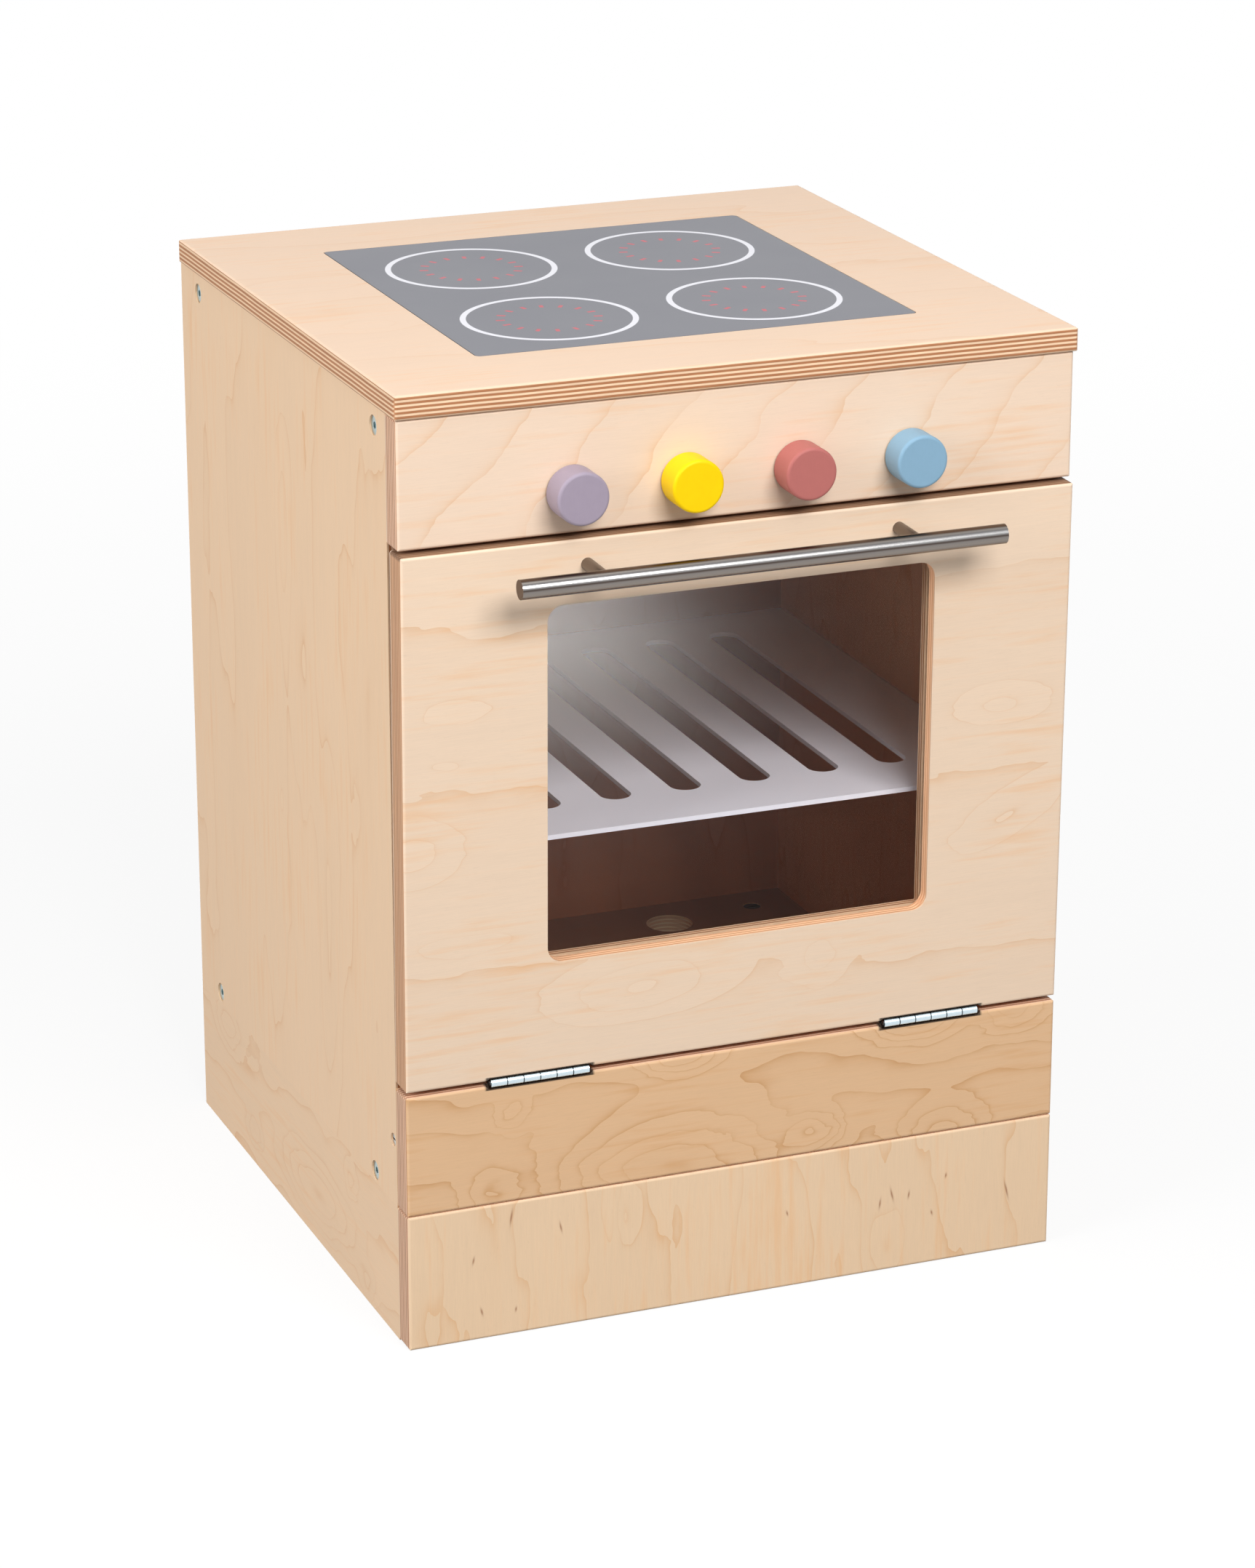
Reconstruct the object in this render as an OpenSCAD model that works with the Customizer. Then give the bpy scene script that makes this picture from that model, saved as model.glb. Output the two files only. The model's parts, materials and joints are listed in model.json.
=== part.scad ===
// Wooden play oven: a plywood cabinet on a plinth, with a flush hob panel, four turning knobs,
// a drop-down door with a window and a bar handle, and a slotted shelf inside.
// X runs to the right, Y away from the front and Z up. The origin is on the floor, at the centre
// of the whole oven's footprint, handle included. All sizes are in millimetres.

/* [Cabinet] */
// Width over the side panels
body_w = 432; // [380:1:560]
// Depth from the front boards to the back of the cabinet
body_d = 418; // [340:1:520]
// Height from the floor to the top of the worktop
body_h = 602; // [580:1:760]
// Thickness of the sides, back, oven floor and plinth sides
board_t = 15; // [12:0.5:20]
// Thickness of the boards that make the front
front_t = 18; // [16:0.5:22]
// Rounding of the edges of the front boards and the worktop
arris_r = 2; // [0.5:0.5:3]

/* [Worktop] */
// Thickness of the worktop
top_t = 15; // [12:0.5:22]
// Overhang of the worktop at the sides
side_overhang = 1.5; // [0:0.5:12]
// Overhang of the worktop at the front
front_overhang = 2.5; // [0:0.5:12]
// Side length of the square hob panel
hob_size = 284; // [200:1:300]
// Thickness of the hob panel, which lies flush with the worktop
hob_t = 3; // [2:0.5:5]
// Corner radius of the hob panel
hob_r = 3; // [1:0.5:10]
// Gap around the hob panel in its recess
hob_play = 0.6; // [0.2:0.1:1.5]

/* [Front] */
// Height of the plinth
plinth_h = 89; // [70:1:120]
// Height of the fixed board under the door
rail_h = 78; // [70:1:110]
// Height of the board that carries the knobs
control_h = 78.6; // [70:0.1:110]
// Gap under the door, which holds the hinges
door_gap = 3; // [3:0.1:5]
// Gap between the closed door's top edge and the control panel
top_gap = 2.4; // [2:0.1:5]

/* [Inside] */
// Height of the two rails under the worktop
cross_rail_h = 25; // [20:1:35]
// Depth of the two rails under the worktop
cross_rail_d = 42; // [34:1:60]
// Height of the batten behind the lower rail
batten_h = 54; // [40:1:60]
// Thickness of that batten
batten_t = 12; // [10:0.5:20]
// Diameter of the hand hole in the oven floor
floor_hole_d = 32; // [20:1:40]
// Distance from the middle of the oven to the hand hole
floor_hole_x = 104; // [40:1:120]
// Distance from the back panel to the middle of the hand hole
floor_hole_inset = 37; // [32:1:90]
// Side of the square corner blocks in the plinth
block_s = 30; // [28:1:40]
// Clearance of the corner blocks above the floor that the oven stands on
block_lift = 7; // [2:1:15]

/* [Shelf] */
// Height of the shelf's underside above the oven floor
shelf_rise = 203; // [120:1:240]
// Thickness of the shelf
shelf_t = 3; // [2:0.5:6]
// Distance from the front boards' back face to the shelf
shelf_setback = 14.5; // [8:0.5:40]
// Depth of the grooves that hold the shelf in the side panels
groove_depth = 5; // [3:0.5:7]
// Number of slots in the shelf
slot_count = 7; // [3:1:7]
// Distance between the middles of neighbouring slots
slot_pitch = 46.5; // [30:0.5:48]
// Width of a slot
slot_w = 20; // [8:0.5:24]
// Distance from the shelf's front edge to the slots
slot_front = 45; // [20:1:80]
// Distance from the slots to the shelf's back edge
slot_back = 36; // [20:1:80]

/* [Door] */
// Width of the window
window_w = 250; // [160:1:260]
// Height of the window
window_h = 225; // [150:1:235]
// Corner radius of the window
window_r = 10; // [2:1:30]
// Distance from the top of the door to the window
window_drop = 39.5; // [34:0.5:60]
// Thickness of the clear pane
pane_t = 3; // [2:0.5:4]
// Distance from the door's front to the pane
pane_depth = 8.5; // [7:0.5:10]
// Width of the step that the pane lies on
pane_lip = 8; // [5:0.5:12]
// Width of the four beads that hold the pane
bead_w = 16; // [15:0.5:20]

/* [Handle] */
// Diameter of the bar
bar_d = 12; // [8:0.5:16]
// Length of the bar
bar_l = 309; // [240:1:380]
// Distance from the door's front to the middle of the bar
bar_standoff = 32.5; // [25:0.5:50]
// Distance from the top of the door to the middle of the bar
bar_drop = 16; // [12:0.5:24]
// Diameter of the two posts
post_d = 8; // [8:0.5:12]
// Distance between the two posts
post_pitch = 200; // [120:1:220]

/* [Hinges] */
// Length of a hinge
hinge_l = 64; // [40:1:90]
// Distance from the cabinet's side to the middle of a hinge
hinge_inset = 86; // [60:1:110]
// Diameter of the knuckles
knuckle_d = 5.5; // [5:0.1:6]
// Diameter of the hinge pins
pin_d = 3; // [2.4:0.1:3.2]
// Number of knuckles on a hinge
knuckle_count = 6; // [4:2:8]
// Thickness of a leaf
leaf_t = 1.2; // [0.8:0.1:1.2]
// Width of a leaf, from the pin's axis
leaf_w = 14; // [12:0.5:16]
// Distance from the front boards' face back to the pin's axis
hinge_recess = 1.2; // [1:0.1:1.4]

/* [Knobs] */
// Diameter of a knob
knob_d = 32.5; // [24:0.5:40]
// Length of a knob
knob_l = 19; // [14:0.5:28]
// Rounding of the knob's front edge
knob_edge_r = 2; // [0.5:0.5:4]
// Distance between neighbouring knobs
knob_pitch = 72; // [50:1:84]
// Height of the knobs above the lower edge of their board
knob_rise = 25.6; // [22:0.1:34]
// Diameter of the bolts that the knobs turn on
knob_bolt_d = 6; // [4:0.5:8]
// Thickness of the washers in front of the board and behind it
washer_t = 1; // [0.5:0.1:2]

/* [Fasteners] */
// Shank diameter of the connector bolts
bolt_d = 6; // [5:0.5:7]
// Length of the connector bolts, head included
bolt_l = 50; // [44:1:60]
// Head diameter of the connector bolts
bolt_head_d = 12; // [10:0.5:14]
// Diameter of the barrel nuts
nut_d = 12; // [10:0.5:12]
// Distance from a side panel to the middle of its barrel nuts
nut_inset = 31; // [25:1:34]
// Distance from the carcass's front to the front floor bolts
floor_bolt_front = 41; // [27:1:60]
// Distance from the back panel to the back floor bolts
floor_bolt_back = 27; // [26:1:60]
// Shank diameter of the wood screws
screw_d = 3.5; // [3:0.1:4]
// Diameter of the door magnets
magnet_d = 8; // [6:0.5:10]
// How far the door magnets stand out of the side panels
magnet_proud = 2.5; // [0.5:0.1:4]
// Distance from the top of the door to the door magnets
catch_drop = 24; // [16:1:60]

/* [Clearances] */
// Side clearance of a fastener in its hole
hole_play = 0.05; // [0.02:0.01:0.1]
// Running clearance of the hinge pins in the rail's leaves and of the knob bolts
run_play = 0.06; // [0.03:0.01:0.1]
// Gap between faces that move past each other
face_play = 0.3; // [0.2:0.05:0.6]
// Play of the pane and the shelf in their steps and grooves
fit_play = 0.2; // [0.1:0.05:0.4]

/* [Hidden] */
$fn = 64;

// Colours
birch = "#ead2b0";
pale_birch = "#efdcc0";
tan_birch = "#ddbd8a";
beech = "#d8b183";
zinc = "#c9ccd0";
steel = "#a7a4a0";
slate = "#8f939a";

// Heights of the front boards' edges
rail_top = plinth_h + rail_h;
carcass_top = body_h - top_t;
control_low = carcass_top - control_h;
door_low = rail_top + door_gap;
door_top = control_low - top_gap;
door_h = door_top - door_low;

// The closed door leans forward a little, with its strikes at the door magnets
hinge_z = rail_top + door_gap / 2;
strike_t = 1.5;
catch_z = door_top - catch_drop;
door_lean = asin((strike_t + magnet_proud) / (catch_z - hinge_z - magnet_d));

// Depths: the handle's reach in front of the front boards sets the middle of the footprint
bar_z = door_top - bar_drop;
bar_reach = (hinge_recess + face_play + bar_standoff) * cos(door_lean)
          + (bar_z - hinge_z) * sin(door_lean) - hinge_recess + bar_d / 2;
front_y = (bar_reach - body_d) / 2;
back_y = front_y + body_d;
top_mid_y = (front_y - front_overhang + back_y) / 2;
carcass_y = front_y + front_t;
inner_back_y = back_y - board_t;
hinge_y = front_y + hinge_recess;

// The upright door stands clear of the carcass by the gap between moving faces
door_front_y = front_y - face_play;
door_back_y = carcass_y - face_play;

// Inside of the carcass
inner_w = body_w - 2 * board_t;
floor_top = plinth_h + board_t;
cross_rail_z = carcass_top - cross_rail_h / 2;
front_rail_y = carcass_y + cross_rail_d / 2;
back_rail_y = inner_back_y - cross_rail_d / 2;
batten_z = floor_top + batten_h / 2;
shelf_z = floor_top + shelf_rise;
shelf_y = carcass_y + shelf_setback;
shelf_d = inner_back_y - fit_play - shelf_y;

// Door window, pane and beads
window_top = door_top - window_drop;
window_z = window_top - window_h / 2;
bead_t = front_t - pane_depth - pane_t - fit_play;

// Fasteners
screw_head_d = 2 * screw_d;
bolt_head_t = 2.5;
bolt_recess = 1;
barrel_l = 12;
nut_slot = 1.2;
plinth_screw_l = 40;
panel_screw_into = 13;
worktop_screw_into = 9;
rail_screw_into = 12;
back_screw_l = 40;
batten_screw_l = 40;
batten_head_d = 8;
bead_screw_d = 2.5;
hinge_screw_d = 2.5;
hinge_screw_l = 15;
handle_screw_d = 4;
handle_screw_into = 12;
screw_x = inner_w / 2 - 60;
panel_screw_x = inner_w / 4;
floor_bolt_ys = [carcass_y + floor_bolt_front, inner_back_y - floor_bolt_back];
side_bolt_spots = [[front_rail_y, cross_rail_z], [back_rail_y, cross_rail_z],
                   [floor_bolt_ys[0], floor_top - board_t / 2],
                   [floor_bolt_ys[1], floor_top - board_t / 2]];
worktop_screw_spots = [for (x = [-1, 1]) for (y = [front_rail_y, back_rail_y])
                       [x * (inner_w / 2 - 50), y]];
knob_xs = [for (i = [0 : 3]) (i - 1.5) * knob_pitch];
knob_z = control_low + knob_rise;
knob_into = 12;
hinge_xs = [hinge_inset - body_w / 2, body_w / 2 - hinge_inset];
hinge_screw_xs = [-hinge_l / 2 + 10, 0, hinge_l / 2 - 10];
hinge_screw_y = (leaf_w + knuckle_d / 2) / 2 + 0.5;
pocket_r = knuckle_d / 2 + 1.2;
block_screw_edge = 8;
block_screw_deep = 20;
block_head_room = 4.2;

// Rectangle in the middle of the plane, with round corners
module rounded_rect(w, h, r) {
    square([w - 2 * r, h], center = true);
    square([w, h - 2 * r], center = true);
    for (x = [-1, 1]) for (y = [-1, 1])
        translate([x * (w / 2 - r), y * (h / 2 - r)]) circle(r);
}

// Box between two opposite corners
module box(low, high) {
    translate(low) cube(high - low);
}

// Rectangle of depth d and width w whose two corners on the Y axis are round
module front_rounded(d, w, r) {
    translate([r, -w / 2]) square([d - r, w]);
    translate([0, r - w / 2]) square([d, w - 2 * r]);
    for (s = [-1, 1]) translate([r, s * (w / 2 - r)]) circle(r);
}

// Front board of height h with its front at y and its lower edge at z; the edges of its
// front face are rounded
module front_board(y, z, h) {
    intersection() {
        translate([-body_w / 2, y, z + h / 2]) rotate([90, 0, 90])
            linear_extrude(body_w) front_rounded(front_t, h, arris_r);
        translate([0, y, z]) mirror([1, -1, 0])
            linear_extrude(h) front_rounded(front_t, body_w, arris_r);
        upright_plate(body_w, h, arris_r, y - 1, y + front_t + 1, z + h / 2);
    }
}

// Board of size w by d, from z = 0 to t, with all its edges rounded
module rounded_board(w, d, t, r) {
    intersection() {
        linear_extrude(t) rounded_rect(w, d, r);
        translate([-w / 2, 0, t / 2]) rotate([90, 0, 90]) linear_extrude(w) rounded_rect(d, t, r);
        translate([0, d / 2, t / 2]) rotate([90, 0, 0]) linear_extrude(d) rounded_rect(w, t, r);
    }
}

// Round-cornered upright plate of size w by h, from y0 to y1, centred on height z
module upright_plate(w, h, r, y0, y1, z) {
    translate([0, y1, z]) rotate([90, 0, 0]) linear_extrude(y1 - y0) rounded_rect(w, h, r);
}

// Countersunk screw from z = 0 along +Z; with play it is the hole that takes the screw
module screw_body(l, d, head_d, play = 0) {
    head_h = (head_d - d) / 2;
    cylinder(h = head_h, r1 = head_d / 2 + play, r2 = d / 2 + play);
    cylinder(h = l + play, r = d / 2 + play);
}

// Countersunk screw with its cross recess
module screw(l, d, head_d) {
    difference() {
        screw_body(l, d, head_d);
        for (a = [0, 90]) rotate(a) translate([0, 0, head_d / 16])
            cube([head_d * 0.55, head_d / 9, head_d / 4], center = true);
    }
}

// Turns the Z axis towards one of the six main directions
module aim(dir) {
    turn = dir == "+x" ? [0, 90, 0] : dir == "-x" ? [0, -90, 0]
         : dir == "+y" ? [-90, 0, 0] : dir == "-y" ? [90, 0, 0]
         : dir == "-z" ? [180, 0, 0] : [0, 0, 0];
    rotate(turn) children();
}

// Everything fixed to the door leans with it about the hinge axis
module on_door() {
    translate([0, hinge_y, hinge_z]) rotate([door_lean, 0, 0])
        translate([0, -hinge_y, -hinge_z]) children();
}

// One connector bolt in a left or right side panel, at s = -1 or 1; with play it is its hole
module connector_bolt(s, y, z, play = 0) {
    translate([s * (body_w / 2 - bolt_recess), y, z]) aim(s > 0 ? "-x" : "+x") {
        cylinder(h = bolt_head_t, r = bolt_head_d / 2 + play);
        cylinder(h = bolt_l + play, r = bolt_d / 2 + play);
    }
}

// Holes of all connector bolts on side s, with the recess around each head
module connector_holes(s) {
    for (p = side_bolt_spots) {
        connector_bolt(s, p[0], p[1], hole_play);
        translate([s * (body_w / 2 - bolt_recess), p[0], p[1]]) aim(s > 0 ? "+x" : "-x")
            cylinder(h = bolt_recess + 1, r = bolt_head_d / 2 + face_play);
    }
}

// Upright barrel nut around the end of a connector bolt; top is the height of its slotted end
module barrel_nut(s, y, top, play = 0) {
    x = s * (inner_w / 2 - nut_inset);
    translate([x, y, top - barrel_l - play]) cylinder(h = barrel_l + play, r = nut_d / 2 + play);
}

// Heights of the barrel nuts' slotted ends in the floor and in the cross rails
floor_nut_top = floor_top - 0.5;
rail_nut_top = cross_rail_z + barrel_l / 2;

// Cross rail under the worktop, centred on y
module cross_rail(y) {
    difference() {
        box([-inner_w / 2, y - cross_rail_d / 2, carcass_top - cross_rail_h],
            [inner_w / 2, y + cross_rail_d / 2, carcass_top]);
        for (s = [-1, 1]) {
            connector_bolt(s, y, cross_rail_z, hole_play);
            translate([s * (inner_w / 2 - nut_inset), y, carcass_top - cross_rail_h - 1])
                cylinder(h = rail_nut_top - carcass_top + cross_rail_h + 1,
                         r = nut_d / 2 + hole_play);
        }
        worktop_screw_places(hole_play);
        control_screw_places(hole_play);
        back_screw_places(hole_play);
    }
}

module worktop_screw_places(play = 0) {
    l = cross_rail_h + worktop_screw_into;
    for (p = worktop_screw_spots) translate([p[0], p[1], carcass_top - cross_rail_h])
        if (play > 0) screw_body(l, screw_d, screw_head_d, play);
        else screw(l, screw_d, screw_head_d);
}

module control_screw_places(play = 0) {
    l = cross_rail_d + panel_screw_into;
    for (x = [-1, 1])
        translate([x * panel_screw_x, carcass_y + cross_rail_d, cross_rail_z]) aim("-y")
            if (play > 0) screw_body(l, screw_d, screw_head_d, play);
            else screw(l, screw_d, screw_head_d);
}

module back_screw_places(play = 0) {
    for (x = [-1, 1]) for (z = [cross_rail_z, floor_top - board_t / 2])
        translate([x * screw_x, back_y, z]) aim("-y")
            if (play > 0) screw_body(back_screw_l, screw_d, screw_head_d, play);
            else screw(back_screw_l, screw_d, screw_head_d);
}

module rail_screw_places(play = 0) {
    l = batten_t + rail_screw_into;
    for (x = [-1, 0, 1])
        translate([x * screw_x, carcass_y + batten_t, batten_z]) aim("-y")
            if (play > 0) screw_body(l, screw_d, screw_head_d, play);
            else screw(l, screw_d, screw_head_d);
}

// Slotted screw through a side panel into the end of the batten
module batten_screw_places(play = 0) {
    for (s = [-1, 1])
        translate([s * (body_w / 2 - bolt_recess), carcass_y + batten_t / 2, batten_z])
            aim(s > 0 ? "-x" : "+x") {
                cylinder(h = bolt_head_t, r = batten_head_d / 2 + play);
                cylinder(h = batten_screw_l + play, r = screw_d / 2 + play);
            }
}

// Corner of the plinth at sx, sy = -1 or 1: the children see X and Y running inwards from it
module plinth_corner(sx, sy) {
    corner_y = sy < 0 ? carcass_y : inner_back_y;
    translate([sx * inner_w / 2, corner_y, 0])
        mirror([sx > 0 ? 1 : 0, 0, 0]) mirror([0, sy > 0 ? 1 : 0, 0]) children();
}

// The three screws of one corner block: into the front or back, into the side, up into the floor
module block_screw_places(play = 0) {
    head_z = plinth_h + board_t - 3 - plinth_screw_l;
    for (p = [[block_screw_edge, block_s, plinth_h * 0.35, "-y"],
              [block_s, block_screw_edge, plinth_h * 0.7, "-x"],
              [block_screw_deep, block_screw_deep, head_z, "+z"]])
        translate([p[0], p[1], p[2]]) aim(p[3])
            if (play > 0) screw_body(plinth_screw_l, screw_d, screw_head_d, play);
            else screw(plinth_screw_l, screw_d, screw_head_d);
}

module all_block_screws(play = 0) {
    for (sx = [-1, 1]) for (sy = [-1, 1]) plinth_corner(sx, sy) block_screw_places(play);
}

module corner_block(sx, sy) {
    head_z = plinth_h + board_t - 3 - plinth_screw_l;
    plinth_corner(sx, sy) difference() {
        box([0, 0, block_lift], [block_s, block_s, plinth_h]);
        block_screw_places(hole_play);
        translate([block_screw_deep, block_screw_deep, block_lift - 1])
            cylinder(h = head_z - block_lift + 1, r = block_head_room);
    }
}

// Side panel at s = -1 or 1, with its groove for the shelf and its fastener holes
module side_panel(s) {
    difference() {
        box([s * body_w / 2 - (s > 0 ? board_t : 0), carcass_y, plinth_h],
            [s * body_w / 2 + (s > 0 ? 0 : board_t), back_y, carcass_top]);
        connector_holes(s);
        batten_screw_places(hole_play);
        translate([s * (body_w / 2 - bolt_recess), carcass_y + batten_t / 2, batten_z])
            aim(s > 0 ? "+x" : "-x")
                cylinder(h = bolt_recess + 1, r = batten_head_d / 2 + face_play);
        box([s * inner_w / 2 - groove_depth, shelf_y - fit_play, shelf_z - fit_play],
            [s * inner_w / 2 + groove_depth, inner_back_y, shelf_z + shelf_t + fit_play]);
        magnet_places(hole_play);
    }
}

module magnet_places(play = 0) {
    for (s = [-1, 1]) translate([s * (body_w - board_t) / 2, carcass_y - magnet_proud, catch_z])
        aim("+y") cylinder(h = magnet_proud + 10 + play, r = magnet_d / 2 + play);
}

// Hinge pocket along the pin's axis, with ends that narrow at 45 degrees
module hinge_pockets() {
    half = hinge_l / 2 + 0.5;
    for (x = hinge_xs) translate([x, hinge_y, hinge_z]) {
        translate([-half, 0, 0]) aim("+x") cylinder(h = 2 * half, r = pocket_r);
        for (s = [-1, 1]) translate([s * half, 0, 0]) aim(s > 0 ? "+x" : "-x")
            cylinder(h = pocket_r - 0.1, r1 = pocket_r, r2 = 0.1);
    }
}

// Screws of the hinge leaves: up into the door (side = 1) or down into the rail (side = -1)
module hinge_screw_places(side, play = 0) {
    for (x = hinge_xs) for (dx = hinge_screw_xs)
        translate([x + dx, hinge_y + hinge_screw_y, hinge_z + side * (door_gap / 2 - leaf_t)])
            aim(side > 0 ? "+z" : "-z")
                if (play > 0) screw_body(hinge_screw_l, hinge_screw_d, 2 * hinge_screw_d, play);
                else screw(hinge_screw_l, hinge_screw_d, 2 * hinge_screw_d);
}

// One leaf with every second knuckle, starting at knuckle first; side = 1 is the door's leaf
module hinge_leaf(x, side, first) {
    pitch = hinge_l / knuckle_count;
    clear_r = knuckle_d / 2 + face_play;
    low = side > 0 ? door_gap / 2 - leaf_t : -door_gap / 2;
    translate([x, hinge_y, hinge_z]) difference() {
        union() {
            box([-hinge_l / 2, clear_r, low], [hinge_l / 2, leaf_w, low + leaf_t]);
            for (i = [first : 2 : knuckle_count - 1])
                translate([-hinge_l / 2 + i * pitch + face_play / 2, 0, 0]) {
                    aim("+x") cylinder(h = pitch - face_play, r = knuckle_d / 2);
                    box([0, 0, low], [pitch - face_play, clear_r + 0.5, low + leaf_t]);
                }
        }
        translate([-hinge_l / 2 - 1, 0, 0]) aim("+x")
            cylinder(h = hinge_l + 2, r = pin_d / 2 + (side > 0 ? hole_play : run_play));
        translate([-x, -hinge_y, -hinge_z]) hinge_screw_places(side, hole_play);
    }
}

module hinge_pin(x) {
    translate([x - hinge_l / 2, hinge_y, hinge_z]) aim("+x") cylinder(h = hinge_l, r = pin_d / 2);
}

// Step for the pane and the wider one for the beads, cut from the door's back
module window_cut() {
    upright_plate(window_w, window_h, window_r, door_front_y - 1, door_back_y + 1, window_z);
    w = window_w + 2 * pane_lip + 2 * fit_play;
    h = window_h + 2 * pane_lip + 2 * fit_play;
    box([-w / 2, door_front_y + pane_depth, window_z - h / 2],
        [w / 2, door_back_y + 1, window_z + h / 2]);
    box([-window_w / 2 - bead_w - fit_play, door_back_y - bead_t,
         window_z - window_h / 2 - bead_w - fit_play],
        [window_w / 2 + bead_w + fit_play, door_back_y + 1,
         window_z + window_h / 2 + bead_w + fit_play]);
}

// Middles of the bead screws, on the outer part of the beads
bead_edge = (bead_w + pane_lip + fit_play) / 2;
bead_screw_spots = concat(
    [for (x = [-1, 1]) for (z = [-1, 1])
        [x * window_w / 4, window_z + z * (window_h / 2 + bead_edge)]],
    [for (x = [-1, 1]) for (z = [-1, 1])
        [x * (window_w / 2 + bead_edge), window_z + z * window_h / 4]]);

module bead_screw_places(play = 0) {
    for (p = bead_screw_spots) translate([p[0], door_back_y, p[1]]) aim("-y")
        if (play > 0) screw_body(bead_t + 7, bead_screw_d, 2 * bead_screw_d, play);
        else screw(bead_t + 7, bead_screw_d, 2 * bead_screw_d);
}

// Bead between two heights and two widths, in the door's plane
module bead(x0, x1, z0, z1) {
    color(birch) on_door() difference() {
        box([x0, door_back_y - bead_t, z0], [x1, door_back_y, z1]);
        bead_screw_places(hole_play);
    }
}

module handle_screw_places(play = 0) {
    for (s = [-1, 1]) translate([s * post_pitch / 2, door_back_y, bar_z]) aim("-y") {
        cylinder(h = front_t + handle_screw_into + play, r = handle_screw_d / 2 + play);
        if (play == 0) translate([0, 0, -2.5]) difference() {
            cylinder(h = 2.5, r = handle_screw_d);
            for (a = [0, 90]) rotate(a)
                cube([handle_screw_d * 1.1, 1, 2], center = true);
        }
    }
}

module handle_post(s) {
    post_l = bar_standoff - bar_d / 2 * cos(asin(post_d / bar_d * 0.98));
    color(steel) on_door() difference() {
        translate([s * post_pitch / 2, door_front_y, bar_z]) aim("-y")
            cylinder(h = post_l + bar_d / 2, r = post_d / 2);
        handle_screw_places(hole_play);
        translate([-bar_l / 2, door_front_y - bar_standoff, bar_z]) aim("+x")
            cylinder(h = bar_l, r = bar_d / 2 + hole_play);
    }
}

// Knob number i, with its back just clear of the front washer
module knob(i) {
    r = knob_d / 2;
    translate([knob_xs[i], front_y - washer_t - face_play, knob_z]) aim("-y") difference() {
        rotate_extrude() {
            square([r - knob_edge_r, knob_l]);
            square([r, knob_l - knob_edge_r]);
            translate([r - knob_edge_r, knob_l - knob_edge_r]) circle(knob_edge_r);
        }
        translate([0, 0, -1]) cylinder(h = knob_into + 1.5, r = knob_bolt_d / 2 + hole_play);
    }
}

// Bolt that knob number i turns on, with a domed head behind the board
module knob_bolt(i) {
    head_t = 3;
    shank_l = face_play + washer_t + front_t + washer_t + face_play + knob_into;
    color(zinc) translate([knob_xs[i], carcass_y + washer_t + face_play + head_t, knob_z])
        aim("-y") difference() {
            union() {
                cylinder(h = 1, r1 = knob_bolt_d - 1, r2 = knob_bolt_d);
                translate([0, 0, 1]) cylinder(h = head_t - 1, r = knob_bolt_d);
                cylinder(h = head_t + shank_l, r = knob_bolt_d / 2);
            }
            translate([0, 0, -1]) cylinder(h = 3, r = 2.3, $fn = 6);
        }
}

module knob_washers(y, d) {
    for (x = knob_xs) translate([x, y + washer_t, knob_z]) aim("-y") difference() {
        cylinder(h = washer_t, r = d / 2);
        translate([0, 0, -1]) cylinder(h = washer_t + 2, r = knob_bolt_d / 2 + face_play);
    }
}

module worktop() {
    color(birch) difference() {
        translate([0, top_mid_y, carcass_top])
            rounded_board(body_w + 2 * side_overhang, body_d + front_overhang, top_t, arris_r);
        translate([0, top_mid_y, body_h - hob_t]) linear_extrude(hob_t + 1)
            rounded_rect(hob_size + 2 * hob_play, hob_size + 2 * hob_play, hob_r + hob_play);
        worktop_screw_places(hole_play);
    }
}

module hob_panel() {
    color(slate) translate([0, top_mid_y, body_h - hob_t]) linear_extrude(hob_t)
        rounded_rect(hob_size, hob_size, hob_r);
}

module left_side() { color(birch) side_panel(-1); }

module right_side() { color(birch) side_panel(1); }

module back_panel() {
    color(birch) difference() {
        box([-inner_w / 2, inner_back_y, plinth_h], [inner_w / 2, back_y, carcass_top]);
        back_screw_places(hole_play);
    }
}

module oven_floor() {
    color(birch) difference() {
        box([-inner_w / 2, carcass_y, plinth_h], [inner_w / 2, inner_back_y, floor_top]);
        translate([floor_hole_x, inner_back_y - floor_hole_inset, plinth_h - 1])
            cylinder(h = board_t + 2, r = floor_hole_d / 2);
        for (s = [-1, 1]) for (y = floor_bolt_ys) {
            connector_bolt(s, y, floor_top - board_t / 2, hole_play);
            barrel_nut(s, y, floor_nut_top, hole_play);
            barrel_nut(s, y, floor_top + 1, hole_play);
        }
        all_block_screws(hole_play);
        back_screw_places(hole_play);
    }
}

module top_front_rail() { color(beech) cross_rail(front_rail_y); }

module top_back_rail() { color(beech) cross_rail(back_rail_y); }

module oven_shelf() {
    w = inner_w + 2 * groove_depth - 2 * fit_play;
    slot_l = shelf_d - slot_front - slot_back;
    color("#e9e8ef") translate([0, shelf_y, shelf_z]) linear_extrude(shelf_t) difference() {
        translate([-w / 2, 0]) square([w, shelf_d]);
        for (i = [0 : slot_count - 1])
            translate([(i - (slot_count - 1) / 2) * slot_pitch, slot_front + slot_l / 2])
                rounded_rect(slot_w, slot_l, slot_w / 2 - 0.01);
    }
}

module control_panel() {
    color(pale_birch) difference() {
        front_board(front_y, control_low, control_h);
        for (x = knob_xs) translate([x, front_y - 1, knob_z]) aim("+y")
            cylinder(h = front_t + 2, r = knob_bolt_d / 2 + run_play);
        control_screw_places(hole_play);
    }
}

module lower_rail() {
    color(tan_birch) difference() {
        front_board(front_y, plinth_h, rail_h);
        hinge_pockets();
        hinge_screw_places(-1, hole_play);
        rail_screw_places(hole_play);
    }
}

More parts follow.
